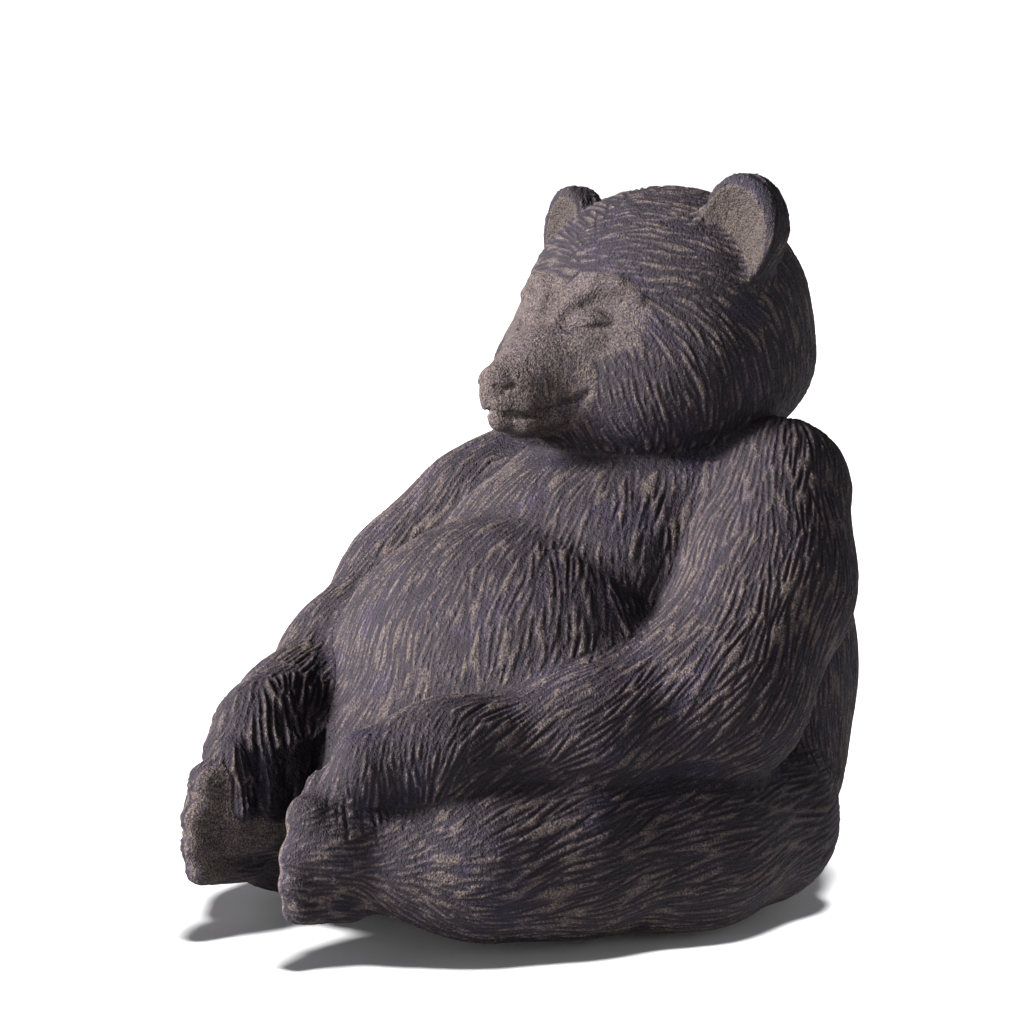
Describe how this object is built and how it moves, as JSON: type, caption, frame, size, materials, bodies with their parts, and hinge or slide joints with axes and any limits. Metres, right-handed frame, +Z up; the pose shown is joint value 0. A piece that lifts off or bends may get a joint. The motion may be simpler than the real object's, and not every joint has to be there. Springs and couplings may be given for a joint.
{
  "type": "carved wooden figurine",
  "caption": "Seated fat bear figurine with closed eyes, holding its own feet, carved all over with short gouge cuts; fixed head and limbs, felt pad under the seat.",
  "frame": {"origin": "on the table, under the middle of the figure's bounding box", "axes": "+Z up, the bear faces -Y, its left side is +X"},
  "size_m": [0.1724, 0.2122, 0.211],
  "materials": {
    "carved_wood": "dark stained, dry and speckled, matt",
    "dowel_wood": "bare turned dowel",
    "felt": "black felt"
  },
  "bodies": {
    "root": {"torso": "carved_wood", "head": "carved_wood", "left_arm": "carved_wood", "right_arm": "carved_wood", "left_leg": "carved_wood", "right_leg": "carved_wood", "neck_dowel": "dowel_wood", "left_shoulder_dowel": "dowel_wood", "right_shoulder_dowel": "dowel_wood", "left_hip_dowel": "dowel_wood", "right_hip_dowel": "dowel_wood", "seat_pad": "felt"}
  },
  "joints": []
}
